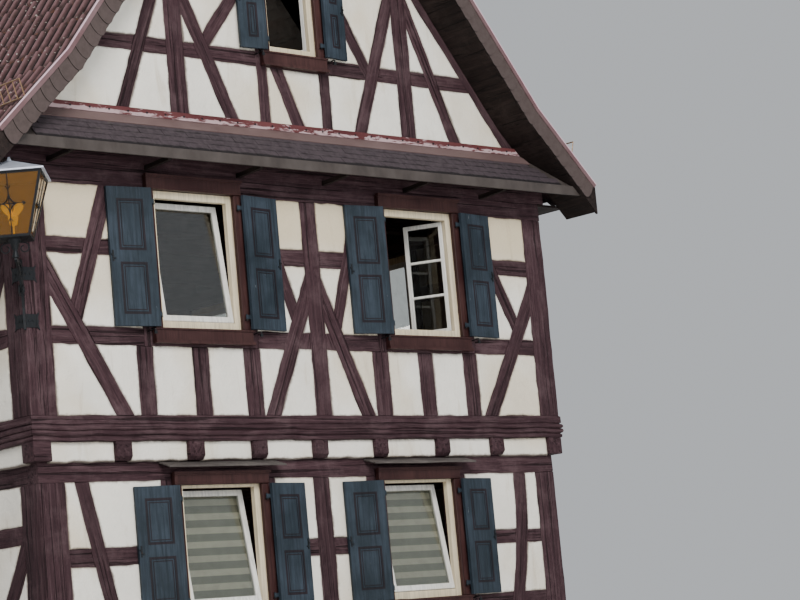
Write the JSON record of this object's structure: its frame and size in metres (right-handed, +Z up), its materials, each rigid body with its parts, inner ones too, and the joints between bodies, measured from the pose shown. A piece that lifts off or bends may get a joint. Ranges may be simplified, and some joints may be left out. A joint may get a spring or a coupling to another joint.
{
  "type": "half timbered house",
  "caption": "Tall half timbered house, gable to the front, jettied upper storey, steep bell-cast tiled roof, hinged panelled shutters and a corner lantern on an iron bracket.",
  "frame": {"origin": "ground level under the middle of the house, the underside of the ground floor", "axes": "+X along the front to the right as seen from the street, +Y into the house, +Z up; the gable front faces -Y"},
  "size_m": [8.6279, 10.6293, 11.1197],
  "materials": {
    "timber": "rough hewn, dark stained",
    "plaster": "lime plaster, matte, stained",
    "plinth_stone": "rough masonry",
    "floor_wood": "planed boards, worn",
    "roof_tile": "interlocking clay tiles, mossy",
    "verge_slate": "scalloped slates",
    "dark_board": "dark stained boards",
    "slate": "riven slates",
    "flashing_metal": "peeling red paint",
    "casing_wood": "red brown paint",
    "frame_white": "cream paint",
    "glass": "clear",
    "blind_cloth": "striped woven",
    "door_wood": "dark stained boards",
    "shutter_paint": "weathered blue grey paint",
    "iron": "black wrought iron",
    "pale_metal": "weathered zinc grey",
    "amber_glass": "amber tinted"
  },
  "bodies": {
    "house": {"back_door": "door_wood", "counter_braces": "timber", "door_frame": "casing_wood", "door_steps": "plinth_stone", "eave_soffits": "dark_board", "end_rafters": "timber", "flashing": "flashing_metal", "floor_boards": "floor_wood", "floor_joists": "timber", "gable_panels": "plaster", "ground_floor": "plinth_stone", "ground_plates": "timber", "ground_sills": "timber", "ground_wall_panels": "plaster", "joist_panels": "plaster", "lantern_bracket": "iron", "lantern_frame": "iron", "lantern_glass": "amber_glass", "lantern_roof": "pale_metal", "moulded_beams": "timber", "pent_fascia": "dark_board", "pent_roof": "slate", "pent_struts": "dark_board", "plinth_walls": "plinth_stone", "rafters": "timber", "ridge_cap": "roof_tile", "roller_blinds": "blind_cloth", "roof_left": "roof_tile", "roof_right": "roof_tile", "shutter_pintles": "iron", "tie_beams": "timber", "upper_plates": "timber", "upper_wall_panels": "plaster", "verge_boards": "verge_slate", "verge_soffits": "dark_board", "wall_braces": "timber", "wall_posts": "timber", "wall_rails": "timber", "window_canopies": "dark_board", "window_casings": "casing_wood", "window_frames": "frame_white", "window_glass": "glass", "window_sashes": "frame_white"},
    "ground_left_window_left_shutter_leaf": {"ground_left_window_left_shutter": "shutter_paint"},
    "ground_left_window_right_shutter_leaf": {"ground_left_window_right_shutter": "shutter_paint"},
    "ground_right_window_left_shutter_leaf": {"ground_right_window_left_shutter": "shutter_paint"},
    "ground_right_window_right_shutter_leaf": {"ground_right_window_right_shutter": "shutter_paint"},
    "upper_left_window_left_shutter_leaf": {"upper_left_window_left_shutter": "shutter_paint"},
    "upper_left_window_right_shutter_leaf": {"upper_left_window_right_shutter": "shutter_paint"},
    "upper_right_window_left_shutter_leaf": {"upper_right_window_left_shutter": "shutter_paint"},
    "upper_right_window_right_shutter_leaf": {"upper_right_window_right_shutter": "shutter_paint"},
    "gable_window_left_shutter_leaf": {"gable_window_left_shutter": "shutter_paint"},
    "gable_window_right_shutter_leaf": {"gable_window_right_shutter": "shutter_paint"}
  },
  "joints": [
    {"name": "ground_left_window_left_shutter_hinge", "type": "hinge", "parent": "house", "child": "ground_left_window_left_shutter_leaf", "pos_m": [-1.9366, -4.2829, 1.9635], "axis": [0, 0, 1], "range_deg": [0, 188]},
    {"name": "ground_left_window_right_shutter_hinge", "type": "hinge", "parent": "house", "child": "ground_left_window_right_shutter_leaf", "pos_m": [-0.8234, -4.2829, 1.9635], "axis": [0, 0, 1], "range_deg": [-188, 0]},
    {"name": "ground_right_window_left_shutter_hinge", "type": "hinge", "parent": "house", "child": "ground_right_window_left_shutter_leaf", "pos_m": [0.8374, -4.2829, 1.9635], "axis": [0, 0, 1], "range_deg": [0, 188]},
    {"name": "ground_right_window_right_shutter_hinge", "type": "hinge", "parent": "house", "child": "ground_right_window_right_shutter_leaf", "pos_m": [1.9506, -4.2829, 1.9635], "axis": [0, 0, 1], "range_deg": [-188, 0]},
    {"name": "upper_left_window_left_shutter_hinge", "type": "hinge", "parent": "house", "child": "upper_left_window_left_shutter_leaf", "pos_m": [-2.0806, -4.3729, 4.89], "axis": [0, 0, 1], "range_deg": [0, 188]},
    {"name": "upper_left_window_right_shutter_hinge", "type": "hinge", "parent": "house", "child": "upper_left_window_right_shutter_leaf", "pos_m": [-0.9674, -4.3729, 4.89], "axis": [0, 0, 1], "range_deg": [-188, 0]},
    {"name": "upper_right_window_left_shutter_hinge", "type": "hinge", "parent": "house", "child": "upper_right_window_left_shutter_leaf", "pos_m": [1.1094, -4.3729, 4.89], "axis": [0, 0, 1], "range_deg": [0, 188]},
    {"name": "upper_right_window_right_shutter_hinge", "type": "hinge", "parent": "house", "child": "upper_right_window_right_shutter_leaf", "pos_m": [2.2226, -4.3729, 4.89], "axis": [0, 0, 1], "range_deg": [-188, 0]},
    {"name": "gable_window_left_shutter_hinge", "type": "hinge", "parent": "house", "child": "gable_window_left_shutter_leaf", "pos_m": [-0.3566, -4.3729, 7.775], "axis": [0, 0, 1], "range_deg": [0, 188]},
    {"name": "gable_window_right_shutter_hinge", "type": "hinge", "parent": "house", "child": "gable_window_right_shutter_leaf", "pos_m": [0.4026, -4.3729, 7.775], "axis": [0, 0, 1], "range_deg": [-188, 0]}
  ]
}
